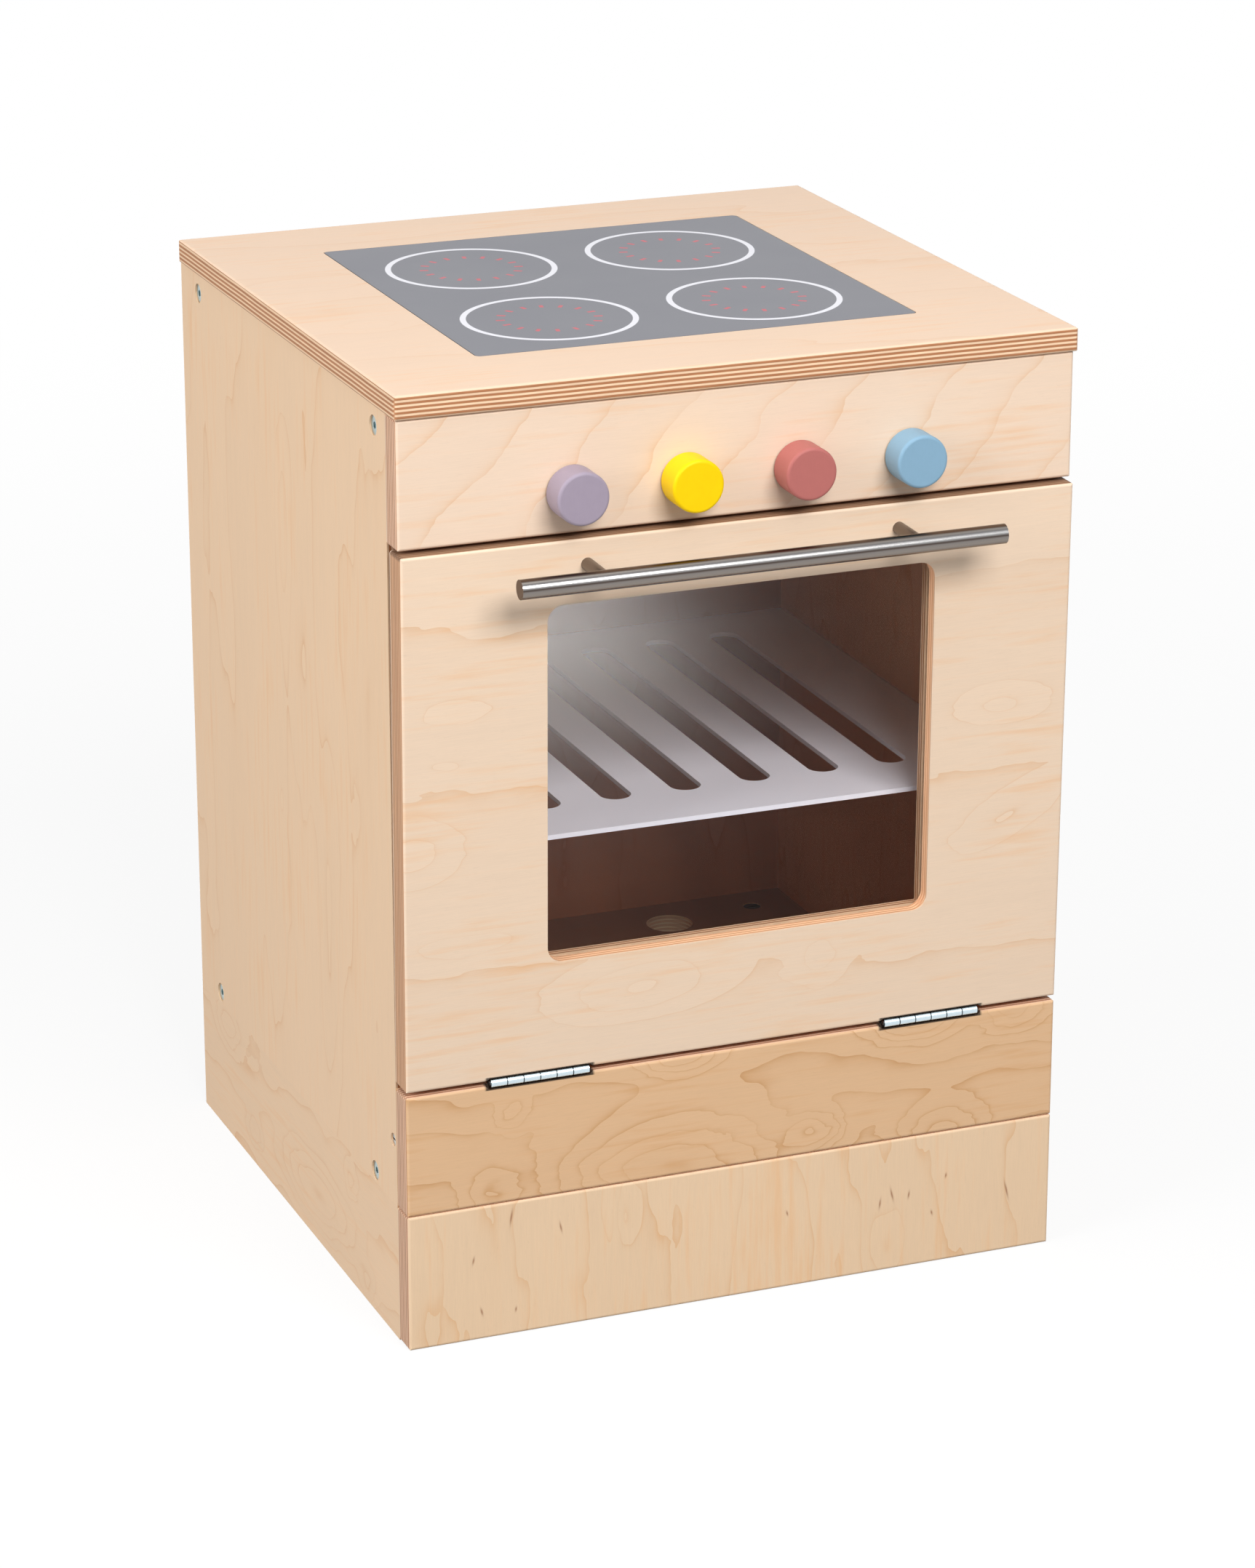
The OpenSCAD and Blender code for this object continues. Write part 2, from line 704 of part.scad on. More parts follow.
module rail_batten() {
    color(beech) difference() {
        box([-inner_w / 2, carcass_y, floor_top],
            [inner_w / 2, carcass_y + batten_t, floor_top + batten_h]);
        rail_screw_places(hole_play);
        batten_screw_places(hole_play);
    }
}

module plinth_front() {
    color(pale_birch) difference() {
        front_board(front_y, 0, plinth_h);
        all_block_screws(hole_play);
    }
}

module plinth_side(s) {
    difference() {
        box([s * body_w / 2 - (s > 0 ? board_t : 0), carcass_y, 0],
            [s * body_w / 2 + (s > 0 ? 0 : board_t), back_y, plinth_h]);
        all_block_screws(hole_play);
    }
}

module plinth_left() { color(tan_birch) plinth_side(-1); }

module plinth_right() { color(tan_birch) plinth_side(1); }

module plinth_back() {
    color(birch) difference() {
        box([-inner_w / 2, inner_back_y, 0], [inner_w / 2, back_y, plinth_h]);
        all_block_screws(hole_play);
    }
}

module connector_bolts() {
    color(zinc) for (s = [-1, 1]) for (p = side_bolt_spots) difference() {
        connector_bolt(s, p[0], p[1]);
        translate([s * body_w / 2, p[0], p[1]]) aim(s > 0 ? "-x" : "+x")
            cylinder(h = bolt_recess + 1.8, r = 2.3, $fn = 6);
    }
}

// Slotted barrel nuts, each with the cross hole that its bolt runs into
module barrel_nuts() {
    color(zinc) for (s = [-1, 1]) for (p = side_bolt_spots) {
        top = p[1] > cross_rail_z - 1 ? rail_nut_top : floor_nut_top;
        difference() {
            barrel_nut(s, p[0], top);
            connector_bolt(s, p[0], p[1], hole_play);
            translate([s * (inner_w / 2 - nut_inset), p[0], top])
                cube([nut_d * 0.7, nut_slot, 2], center = true);
        }
    }
}

module batten_screws() {
    color(zinc) difference() {
        batten_screw_places();
        for (s = [-1, 1])
            translate([s * (body_w / 2 - bolt_recess), carcass_y + batten_t / 2, batten_z])
                cube([2, batten_head_d + 1, nut_slot], center = true);
    }
}

module worktop_screws() { color(zinc) worktop_screw_places(); }

module control_panel_screws() { color(zinc) control_screw_places(); }

module lower_rail_screws() { color(zinc) rail_screw_places(); }

module back_panel_screws() { color(zinc) back_screw_places(); }

module plinth_screws() { color(zinc) all_block_screws(); }

module catch_magnets() { color("#77797d") magnet_places(); }

// Broad-headed steel screws in the door's back, which the magnets hold
module strike_screws() {
    color(zinc) on_door() for (s = [-1, 1])
        translate([s * (body_w - board_t) / 2, door_back_y + strike_t, catch_z]) aim("-y") {
            cylinder(h = strike_t, r = magnet_d / 2 + 1);
            cylinder(h = strike_t + 12, r = screw_d / 2);
        }
}

module door_panel() {
    color(pale_birch) on_door() difference() {
        front_board(door_front_y, door_low, door_h);
        window_cut();
        hinge_pockets();
        hinge_screw_places(1, hole_play);
        bead_screw_places(hole_play);
        handle_screw_places(hole_play);
        for (s = [-1, 1]) translate([s * (body_w - board_t) / 2, door_back_y + 1, catch_z])
            aim("-y") cylinder(h = 13 + hole_play, r = screw_d / 2 + hole_play);
    }
}

module window_pane() {
    w = window_w + 2 * pane_lip;
    h = window_h + 2 * pane_lip;
    color("#b9b2b0", 0.4) on_door()
        box([-w / 2, door_front_y + pane_depth, window_z - h / 2],
            [w / 2, door_front_y + pane_depth + pane_t, window_z + h / 2]);
}

// The upper and lower beads run the full width, and the side ones fit between them
module bead_top() {
    z = window_z + window_h / 2;
    bead(-window_w / 2 - bead_w, window_w / 2 + bead_w, z, z + bead_w);
}

module bead_bottom() {
    z = window_z - window_h / 2;
    bead(-window_w / 2 - bead_w, window_w / 2 + bead_w, z - bead_w, z);
}

module bead_left() {
    bead(-window_w / 2 - bead_w, -window_w / 2, window_z - window_h / 2, window_z + window_h / 2);
}

module bead_right() {
    bead(window_w / 2, window_w / 2 + bead_w, window_z - window_h / 2, window_z + window_h / 2);
}

module bead_screws() { color(zinc) on_door() bead_screw_places(); }

module handle_bar() {
    color(steel) on_door() translate([-bar_l / 2, door_front_y - bar_standoff, bar_z]) aim("+x")
        cylinder(h = bar_l, r = bar_d / 2);
}

module handle_post_left() { handle_post(-1); }

module handle_post_right() { handle_post(1); }

module handle_screws() { color(zinc) on_door() handle_screw_places(); }

module left_hinge_rail_leaf() { color(zinc) hinge_leaf(hinge_xs[0], -1, 0); }

module left_hinge_door_leaf() { color(zinc) on_door() hinge_leaf(hinge_xs[0], 1, 1); }

module left_hinge_pin() { color(steel) hinge_pin(hinge_xs[0]); }

module right_hinge_rail_leaf() { color(zinc) hinge_leaf(hinge_xs[1], -1, 0); }

module right_hinge_door_leaf() { color(zinc) on_door() hinge_leaf(hinge_xs[1], 1, 1); }

module right_hinge_pin() { color(steel) hinge_pin(hinge_xs[1]); }

module hinge_rail_screws() { color(zinc) hinge_screw_places(-1); }

module hinge_door_screws() { color(zinc) on_door() hinge_screw_places(1); }

module knob_lilac() { color("#aaa0b2") knob(0); }

module knob_yellow() { color("#ffdb00") knob(1); }

module knob_rose() { color("#b96e6c") knob(2); }

module knob_blue() { color("#7fafcb") knob(3); }

module knob_bolt_lilac() { knob_bolt(0); }

module knob_bolt_yellow() { knob_bolt(1); }

module knob_bolt_rose() { knob_bolt(2); }

module knob_bolt_blue() { knob_bolt(3); }

module knob_front_washers() { color("#e8e4da") knob_washers(front_y - washer_t, knob_d / 2); }

module knob_back_washers() { color(zinc) knob_washers(carcass_y, 2.5 * knob_bolt_d); }

worktop();
hob_panel();
left_side();
right_side();
back_panel();
oven_floor();
top_front_rail();
top_back_rail();
oven_shelf();
control_panel();
lower_rail();
rail_batten();
plinth_front();
plinth_left();
plinth_right();
plinth_back();
color(beech) corner_block(-1, -1);  // front_left_block
color(beech) corner_block(1, -1);  // front_right_block
color(beech) corner_block(-1, 1);  // back_left_block
color(beech) corner_block(1, 1);  // back_right_block
connector_bolts();
barrel_nuts();
batten_screws();
worktop_screws();
control_panel_screws();
lower_rail_screws();
back_panel_screws();
plinth_screws();
catch_magnets();
strike_screws();
door_panel();
window_pane();
bead_top();
bead_bottom();
bead_left();
bead_right();
bead_screws();
handle_bar();
handle_post_left();
handle_post_right();
handle_screws();
left_hinge_rail_leaf();
left_hinge_door_leaf();
left_hinge_pin();
right_hinge_rail_leaf();
right_hinge_door_leaf();
right_hinge_pin();
hinge_rail_screws();
hinge_door_screws();
knob_lilac();
knob_yellow();
knob_rose();
knob_blue();
knob_bolt_lilac();
knob_bolt_yellow();
knob_bolt_rose();
knob_bolt_blue();
knob_front_washers();
knob_back_washers();
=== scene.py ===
"""Looks of the wooden play oven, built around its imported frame.

Everything is in metres in the frame's own axes: +X to the right, +Y from front to back, +Z up.
The patterns of the materials are worked out in millimetres.
"""

import json
import math

import bpy
import numpy as np
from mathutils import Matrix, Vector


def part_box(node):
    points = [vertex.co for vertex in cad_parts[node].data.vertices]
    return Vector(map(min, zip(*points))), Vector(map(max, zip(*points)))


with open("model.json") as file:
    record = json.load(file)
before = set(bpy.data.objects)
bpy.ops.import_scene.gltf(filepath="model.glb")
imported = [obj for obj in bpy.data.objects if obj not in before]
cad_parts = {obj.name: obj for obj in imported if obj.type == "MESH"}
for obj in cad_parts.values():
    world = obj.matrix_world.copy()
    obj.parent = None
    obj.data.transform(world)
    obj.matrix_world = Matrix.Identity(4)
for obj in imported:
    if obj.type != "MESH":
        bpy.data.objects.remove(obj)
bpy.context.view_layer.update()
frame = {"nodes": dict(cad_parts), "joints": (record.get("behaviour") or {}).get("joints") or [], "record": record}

X, Y, Z = 0, 1, 2
MM = 0.001
IMAGE_W, IMAGE_H = 1725, 2156


def srgb(red, green, blue):
    """Linear colour of an 8-bit display colour, by the display's gamma curve."""
    share = np.array([red, green, blue]) / 255
    linear = np.where(share <= 0.04045, share / 12.92, ((share + 0.055) / 1.055) ** 2.4)
    return tuple(linear) + (1.0,)


# ---------------------------------------------------------------------------------------------
# Shader expressions


class Value:
    """A number that changes over a surface: arithmetic on it adds Math nodes."""

    def __init__(self, graph, socket):
        self.graph = graph
        self.socket = socket

    def __add__(self, other):
        return self.graph.math("ADD", self, other)

    def __radd__(self, other):
        return self.graph.math("ADD", other, self)

    def __sub__(self, other):
        return self.graph.math("SUBTRACT", self, other)

    def __rsub__(self, other):
        return self.graph.math("SUBTRACT", other, self)

    def __mul__(self, other):
        return self.graph.math("MULTIPLY", self, other)

    def __rmul__(self, other):
        return self.graph.math("MULTIPLY", other, self)

    def __truediv__(self, other):
        return self.graph.math("DIVIDE", self, other)

    def __pow__(self, other):
        return self.graph.math("POWER", self, other)

    def __gt__(self, other):
        return self.graph.math("GREATER_THAN", self, other)

    def __abs__(self):
        return self.graph.math("ABSOLUTE", self)


class Graph:
    """A node tree that ends in one output, with a method for each kind of node it needs."""

    def __init__(self, tree, output):
        self.tree = tree
        self.output = tree.nodes[output]

    def node(self, kind, settings=None, **inputs):
        """Adds a node: first its settings, then a value or a link for each input.

        An input goes by its name, or by i and its number.
        """
        made = self.tree.nodes.new("ShaderNode" + kind)
        for key, value in (settings or {}).items():
            if key == "stops":
                while len(made.color_ramp.elements) < len(value):
                    made.color_ramp.elements.new(0.5)
                for stop, (place, colour) in zip(made.color_ramp.elements, value):
                    stop.position, stop.color = place, colour
            else:
                setattr(made, key, value)
        for key, value in inputs.items():
            numbered = key[0] == "i" and key[1:].isdigit()
            self.feed(made.inputs[int(key[1:]) if numbered else key.replace("_", " ")], value)
        return made

    def feed(self, socket, value):
        """Links a value or a socket to a socket, or sets a plain number, vector or colour on it."""
        if isinstance(value, Value):
            self.tree.links.new(value.socket, socket)
        elif isinstance(value, bpy.types.NodeSocket):
            self.tree.links.new(value, socket)
        else:
            socket.default_value = value

    def math(self, operation, *values):
        """One Math node on one to three values."""
        inputs = {"i%d" % k: v for k, v in enumerate(values)}
        return Value(self, self.node("Math", {"operation": operation}, **inputs).outputs[0])

    def split(self, vector):
        """The three parts of a vector, as values."""
        parts = self.node("SeparateXYZ", Vector=vector).outputs
        return [Value(self, parts[k]) for k in (X, Y, Z)]

    def place(self, centre=(0, 0, 0), turn=(0, 0, 0)):
        """Object coordinates in millimetres from centre, turned back by turn."""
        seen = self.node("TexCoord").outputs["Object"]
        mapped = self.node("Mapping", {"vector_type": "TEXTURE"}, Vector=seen, Location=centre,
                           Rotation=turn, Scale=(MM, MM, MM))
        return self.split(mapped.outputs[0])

    def facing(self):
        """The surface's direction, in the object's own axes."""
        return self.split(self.node("TexCoord").outputs["Normal"])

    def vector(self, x, y, z):
        return self.node("CombineXYZ", X=x, Y=y, Z=z).outputs[0]

    def noise(self, x, y, z, detail=2.0, roughness=0.5):
        """Smooth noise about 0, from -0.5 to 0.5, whose cells are one unit wide."""
        made = self.node("TexNoise", Vector=self.vector(x, y, z), Scale=1.0, Detail=detail,
                         Roughness=roughness)
        return Value(self, made.outputs["Fac"]) - 0.5

    def grain_noise(self, along, across, cell, start, detail=2.0, roughness=0.5):
        """Noise over a board, with cells (length, width) mm; another start gives another noise."""
        return self.noise(along / cell[0], across / cell[1], start, detail, roughness)

    def ramp(self, value, low, high, out_low=0.0, out_high=1.0):
        """Smooth step of value from low to high."""
        made = self.node("MapRange", {"interpolation_type": "SMOOTHSTEP"}, i0=value, i1=low,
                         i2=high, i3=out_low, i4=out_high)
        return Value(self, made.outputs[0])

    def stripe(self, value, half, soft):
        """1 within half of 0 and 0 beyond it, with a soft rim that reaches soft to each side."""
        return 1 - self.ramp(abs(value), half - soft, half + soft)

    def blend(self, share, first, second, how="MIX"):
        """Colour between first and second by share."""
        made = self.node("Mix", {"data_type": "RGBA", "blend_type": how}, i0=share, i6=first,
                         i7=second)
        return made.outputs[2]

    def shade(self, colour, factor):
        """Colour times a value, with its hue kept; the colour is a socket or plain numbers."""
        if isinstance(colour, tuple):
            colour = colour[:3]
        return self.node("VectorMath", {"operation": "SCALE"}, i0=colour, Scale=factor).outputs[0]

    def bump(self, height, millimetres):
        """Normal bent by a height from 0 to 1 that stands for so many millimetres."""
        return self.node("Bump", Height=height, Distance=millimetres * MM, Strength=1.0).outputs[0]

    def looked_at(self):
        """1 for what the camera, gloss and glass see, and 0 for light that bounces off."""
        path = self.node("LightPath").outputs
        mirrored = self.math("MAXIMUM", path["Is Glossy Ray"], path["Is Transmission Ray"])
        return self.math("MAXIMUM", path["Is Camera Ray"], mirrored)

    def show(self, share, first, second):
        """Ends the tree in a mix of two shader nodes by share."""
        mixed = self.node("MixShader", i0=share, i1=first.outputs[0], i2=second.outputs[0])
        self.feed(self.output.inputs["Surface"], mixed.outputs[0])


class Finish(Graph):
    """One material with a Principled shader, and the nodes that drive it."""

    def __init__(self, name, **uniform):
        """Sets the values that are the same all over the surface on the shader's own sockets."""
        self.material = bpy.data.materials.new(name)
        self.material.use_nodes = True
        super().__init__(self.material.node_tree, "Material Output")
        self.shader = self.tree.nodes["Principled BSDF"]
        self.set(**uniform)

    def set(self, **inputs):
        """Sets or feeds the shader's inputs."""
        for key, value in inputs.items():
            self.feed(self.shader.inputs[key.replace("_", " ")], value)


# ---------------------------------------------------------------------------------------------
# Plywood

PLY = 1.38
FRONT_T = 18.0
FACE = srgb(238, 213, 188)
PALE = srgb(239, 214, 191)
TAN = srgb(226, 187, 147)
WARM = srgb(240, 206, 170)
LINE = srgb(222, 166, 108)
PITH = srgb(138, 74, 36)
EDGE = (srgb(242, 208, 174), srgb(174, 114, 74))
SOFT_EDGE = (srgb(234, 198, 170), srgb(182, 132, 102))
DOOR_EDGE = (srgb(243, 199, 161), srgb(209, 150, 110))
# paler layers for the oven floor: painted light on the lit wall of its hole
PAINTED_LIGHT_EDGE = (srgb(250, 222, 190), srgb(232, 192, 154))
INSIDE_SHADE = (1.0, 0.82, 0.76, 1.0)

# noise cells of the veneer and of the layers, along and across the grain
FIBRE, PORE, STREAK, CLOUD, FADE = (16, 0.6), (6, 0.6), (80, 5), (80, 50), (70, 26)
SWAY, LAYER_STREAK = (60, 60), (18, 18)
RING_BASE = 20

DOOR_HINGE = next(joint for joint in frame["joints"] if joint["name"] == "door_hinge")
HINGE_AXIS = np.array(DOOR_HINGE["pos_m"])
LEAN = math.radians(90 - DOOR_HINGE["range_deg"][1])
PIN_LOW, PIN_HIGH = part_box("right_hinge_pin")
HINGE_X = (PIN_LOW[X] + PIN_HIGH[X]) / 2 / MM
HINGE_HALF = (PIN_HIGH[X] - PIN_LOW[X]) / 2 / MM
KNUCKLES, POCKET_R = 6, 3.95


def growth_height(f, along, across, seed, slope, swell, ripple, hills):
    """Height over a veneer whose whole numbers are its growth lines, and the quick noise in it.

    across / slope[0] + along / slope[1] + 4 * swell[0] * slow noise + ripple[0] * quick noise
    + sum of height * smooth step of (1 - distance) over the hills
    The last two numbers of swell and of ripple are their noise's cell. A hill lies at (along,
    across) from the board's middle, with half axes (length, width), a height and a turn in
    degrees; distance is 1 at its rim. RING_BASE keeps the height above 0.
    """
    slow = f.grain_noise(along, across, swell[1:], seed, 1.5, 0.4)
    quick = f.grain_noise(along, across, ripple[1:], seed + 5.3)
    height = across / slope[0] + along / slope[1] + slow * (4 * swell[0]) + quick * ripple[0]
    spot = f.vector(along + quick * 16, across + quick * 5, 0.0)
    for h_along, h_across, h_length, h_width, rise, *turn in hills:
        lie = f.node("Mapping", {"vector_type": "TEXTURE"}, Vector=spot,
                     Location=(h_along, h_across, 0), Scale=(h_length, h_width, 1),
                     Rotation=(0, 0, math.radians(turn[0] if turn else 0)))
        hill = f.node("TexGradient", {"gradient_type": "SPHERICAL"}, Vector=lie.outputs[0])
        height = height + f.ramp(hill.outputs["Fac"], 0.0, 1.0, 0.0, rise)
    return height + RING_BASE, quick


def dark_fleck(f, along, across, quick, fleck, side):
    """Share of a short dark streak at (along, across, length), by exp(-distance squared)."""
    f_along, f_across, f_length = fleck
    tilt = 0.22 if side else -0.14
    by_length = (along - f_along) / (0.8 * f_length)
    by_width = (across - f_across + (along - f_along) * tilt + quick * 2) / 0.6
    return f.math("EXPONENT", 0 - (by_length * by_length + by_width * by_width)) * 0.75


def pocket_shade_share(f, along, across, depth, middle, turn):
    """Share of the pockets ground out round the hinges that is blackened as painted shade: near the hinge axis,
    beside each hinge.
    """
    away = (HINGE_AXIS - middle) / MM
    axis_depth = away[Y] * math.cos(turn) + away[Z] * math.sin(turn)
    axis_up = away[Z] * math.cos(turn) - away[Y] * math.sin(turn)
    reach = f.math("SQRT", (depth - axis_depth) ** 2 + (across - axis_up) ** 2)
    beside = abs(abs(along) - HINGE_X)
    pocket_shade = 1 - f.ramp(reach, POCKET_R + 0.2, POCKET_R + 0.8)
    return pocket_shade * (1 - f.ramp(beside, HINGE_HALF + 2, HINGE_HALF + 4))


def plywood(name, node, through, grain, base=FACE, line=LINE, slope=(60, 900), swell=(0.8, 190, 42),
            ripple=(0.25, 34, 12), hills=(), flecks=(), strength=0.5, seed=1.0, leaning=False,
            edge=EDGE, dim_and_top_shade=None, shade_pockets=False, inner=None, inside_shade=INSIDE_SHADE):
    """Birch plywood whose layers lie across the axis `through`, with face grain along `grain`.

    A veneer peeled from a round log shows the growth rings as contour lines of a height, for
    which growth_height gives the formula. Flecks are short dark streaks at (along, across,
    length). `edge` holds the colours of the layers seen along and across their grain, and
    `dim_and_top_shade` the share of them that is left at the board's ends and at its top; the
    darker top is painted shade, for the narrow gap above the door. `shade_pockets` blackens the
    ground-out pockets round the hinges with painted shade. `inner` is the axis and side of the
    face inside the oven, and `inside_shade` is how much of each colour that face keeps: painted
    shade, darker and redder, for the shaded inside of the oven. `leaning` boards are the door's:
    they stand upright again once turned back by its lean.
    """
    low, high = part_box(node)
    middle = (low + high) / 2
    thick = FRONT_T if leaning else (high[through] - low[through]) / MM
    turn = LEAN if leaning else 0.0
    f = Finish(name, Specular_IOR_Level=0.3)
    xyz = f.place(centre=tuple(middle), turn=(turn, 0, 0))
    cross = 3 - through - grain
    along, across, depth = xyz[grain], xyz[cross], xyz[through]
    facing = f.facing()

    # growth lines of the face veneer
    growth, quick = growth_height(f, along, across, seed, slope, swell, ripple, hills)
    part = f.math("FRACT", growth)
    fade = f.ramp(f.grain_noise(along, across, FADE, seed + 3.7), -0.2, 0.12, 0.35, 1.0)
    sharp = max(10.0, abs(slope[0]) / 3)
    lines = ((part ** sharp) * 0.8 + (part ** 5) * 0.2) * fade * strength
    zone = f.noise(f.math("FLOOR", growth) * 0.77, seed + 8.1, 0.5, 0.0)

    # fibres, clouds, pores and flecks
    fibre = f.grain_noise(along, across, FIBRE, depth / 4 + seed, 3.0, 0.65)
    streak = f.grain_noise(along, across, STREAK, seed + 1.9, 3.0, 0.6)
    cloud = f.grain_noise(along, across, CLOUD, seed + 7.7)
    pore = f.ramp(f.grain_noise(along, across, PORE, seed + 2.2, 1.0), 0.17, 0.26)
    tone = 1 + fibre * 0.11 + streak * 0.06 + cloud * 0.06 + zone * 0.05 - pore * 0.04
    face = f.shade(f.blend(lines, base, line), tone)
    warm = tuple(1.12 * c for c in line[:3]) + (1.0,)
    face = f.blend(f.ramp(streak + cloud * 0.6, 0.0, 0.35) * 0.35, face, warm)
    for k, fleck in enumerate(flecks):
        face = f.blend(dark_fleck(f, along, across, quick, fleck, k % 2), face, PITH)
    # painted shade: the faces inside the oven are darkened and reddened
    if inner:
        axis, side = inner
        face = f.blend(facing[axis] * side > 0.7, face, inside_shade, "MULTIPLY")

    # layers seen at the edges and in the holes: every other one is seen across its grain
    sway = f.grain_noise(along, across, SWAY, seed + 4.4) * 0.5
    layer = (depth + thick / 2) / PLY + sway
    odd = f.ramp(f.math("PINGPONG", layer - 0.5, 1.0), 0.38, 0.62)
    by_grain, by_cross = facing[grain], facing[cross]
    end = by_grain * by_grain * (1 - odd) + by_cross * by_cross * odd
    streaks = f.grain_noise(along, across, LAYER_STREAK, depth / 0.45 + seed, 3.0, 0.7)
    own = f.noise(f.math("FLOOR", layer) * 3.71, seed, 0.5, 0.0) * 0.34
    seam = f.math("FRACT", layer)
    glue = 1 - f.ramp(seam, 0.0, 0.16) + f.ramp(seam, 0.86, 1.0)
    core = f.blend(f.ramp(end, 0.1, 0.7, 0.0, 0.95), edge[0], edge[1])
    core = f.shade(core, 1 + own + streaks * 0.5 - glue * 0.16)
    # layers darker at the ends, and darker at the top as painted shade for the gap above the door
    if dim_and_top_shade:
        half = (high - low) / MM / 2
        ends = f.ramp(abs(along), half[grain] - 3, half[grain] - 1, 1.0, dim_and_top_shade[0])
        top = f.ramp(across, half[cross] - 3, half[cross] - 1, 1.0, dim_and_top_shade[1])
        core = f.shade(core, ends * top)
    inside = thick / 2 - 0.6 * PLY
    veneer = f.stripe(depth, inside, 0.1)
    colour = f.blend(veneer, face, core)
    # painted shade: the pockets round the hinges are blackened
    if shade_pockets:
        pocket_shade = pocket_shade_share(f, along, across, depth, middle, turn)
        colour = f.shade(colour, 1 - pocket_shade * 0.9)
    relief = fibre + 0.5 - pore * 0.6 - glue * veneer * 0.5
    f.set(Base_Color=colour, Roughness=0.48 + fibre * 0.12 + veneer * 0.15 - lines * 0.05,
          Normal=f.bump(relief, 0.03))
    return f.material


# ---------------------------------------------------------------------------------------------
# Other finishes


def solid_beech(name, grain):
    """Planed beech: short dark rays in a pink-brown ground, along the grain."""
    f = Finish(name, Specular_IOR_Level=0.3)
    xyz = f.place()
    along, across, depth = xyz[grain], xyz[(grain + 1) % 3], xyz[(grain + 2) % 3]
    painted_bands = f.noise(along / 120, across / 4, depth / 4, 3.0, 0.6)
    rays = f.ramp(f.noise(along / 2.2, across / 0.5, depth / 0.5, 1.0), 0.16, 0.24)
    colour = f.blend(f.ramp(painted_bands, -0.3, 0.3), srgb(222, 180, 138), srgb(196, 148, 106))
    colour = f.blend(rays * 0.35, colour, srgb(150, 100, 66))
    f.set(Base_Color=colour, Roughness=0.6 + painted_bands * 0.2, Normal=f.bump(painted_bands + 0.5, 0.05))
    return f.material


def painted_wood(name, colour):
    """Satin paint on turned wood: an even coat with fine orange peel and a trace of the grain."""
    f = Finish(name, Specular_IOR_Level=0.2)
    x, y, z = f.place()
    peel = f.noise(x / 0.7, y / 0.7, z / 0.7, 2.0, 0.6)
    grain = f.noise(x / 0.35, y / 6, z / 9, 2.0, 0.6)
    worn = f.noise(x / 5, y / 5, z / 5, 3.0, 0.6)
    f.set(Base_Color=f.shade(colour, 1 + worn * 0.08 + grain * 0.05),
          Roughness=0.48 + worn * 0.12 + peel * 0.08,
          Normal=f.bump(peel * 0.6 + grain * 0.6 + 0.5, 0.04))
    return f.material


def hob_print(name):
    """Satin grey hob with four white rings, each round a ring of sixteen faded red dashes."""
    low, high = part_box("hob_panel")
    f = Finish(name, Specular_IOR_Level=0.4)
    x, y, z = f.place(centre=tuple((low + high) / 2))
    pitch_x, pitch_y, shift_x, shift_y = 134.5, 137.5, -2.4, -3.1
    ring_r, ring_w, ring_soft = 52.3, 3.7, 0.25
    dashes, dash_r, dash_l, dash_w, dash_soft = 16, 30.0, 5.4, 2.5, 0.3
    u = abs(x - shift_x) - pitch_x / 2
    v = abs(y - shift_y) - pitch_y / 2
    radius = f.math("SQRT", u * u + v * v)
    ring = f.stripe(radius - ring_r, ring_w / 2, ring_soft)
    step = 2 * math.pi / dashes
    turn = f.math("ARCTAN2", v, u) / step
    sideways = (f.math("FRACT", turn) - 0.5) * step * radius
    dash = f.stripe(sideways, dash_w / 2, dash_soft)
    dash = dash * f.stripe(radius - dash_r, dash_l / 2, dash_soft)
    dust = f.noise(x / 0.9, y / 0.9, 2.0, 2.0, 0.6)
    cloud = f.noise(x / 60, y / 60, 4.0, 2.0, 0.5)
    wear = f.noise(x / 1.6, y / 1.6, 8.0, 2.0, 0.6)
    ground = f.shade(srgb(112, 113, 121), 1 + cloud * 0.08 + dust * 0.05)
    colour = f.blend(ring, ground, srgb(236, 236, 243))
    colour = f.blend(dash * (0.9 + wear * 0.7), colour, srgb(200, 72, 86))
    f.set(Base_Color=colour, Roughness=0.38 + cloud * 0.1 + dust * 0.06,
          Normal=f.bump(dust + 0.5, 0.01))
    return f.material


def lacquered_sheet(name, colour):
    """White coated sheet metal with a faint orange peel."""
    f = Finish(name, Specular_IOR_Level=0.5)
    x, y, z = f.place()
    peel = f.noise(x / 1.2, y / 1.2, z / 1.2, 2.0, 0.5)
    cloud = f.noise(x / 40, y / 40, z / 40, 2.0, 0.5)
    f.set(Base_Color=f.shade(colour, 1 + cloud * 0.03),
          Roughness=0.36 + cloud * 0.1 + peel * 0.05, Normal=f.bump(peel + 0.5, 0.02))
    return f.material


def metal(name, colour, roughness, lines, along=X, streak=0.2, relief=0.004):
    """Metal with brushing lines along the axis `along`, lines[0] mm long and lines[1] mm apart."""
    f = Finish(name, Metallic=1.0)
    xyz = f.place()
    a, b, c = xyz[along], xyz[(along + 1) % 3], xyz[(along + 2) % 3]
    brushed = f.noise(a / lines[0], b / lines[1], c / lines[1], 3.0, 0.7)
    spots = f.noise(a / 4, b / 4, c / 4, 3.0, 0.6)
    f.set(Base_Color=f.shade(colour, 1 + brushed * streak + spots * 0.08),
          Roughness=roughness + brushed * 0.12 + spots * 0.06,
          Normal=f.bump(brushed + 0.5, relief))
    return f.material


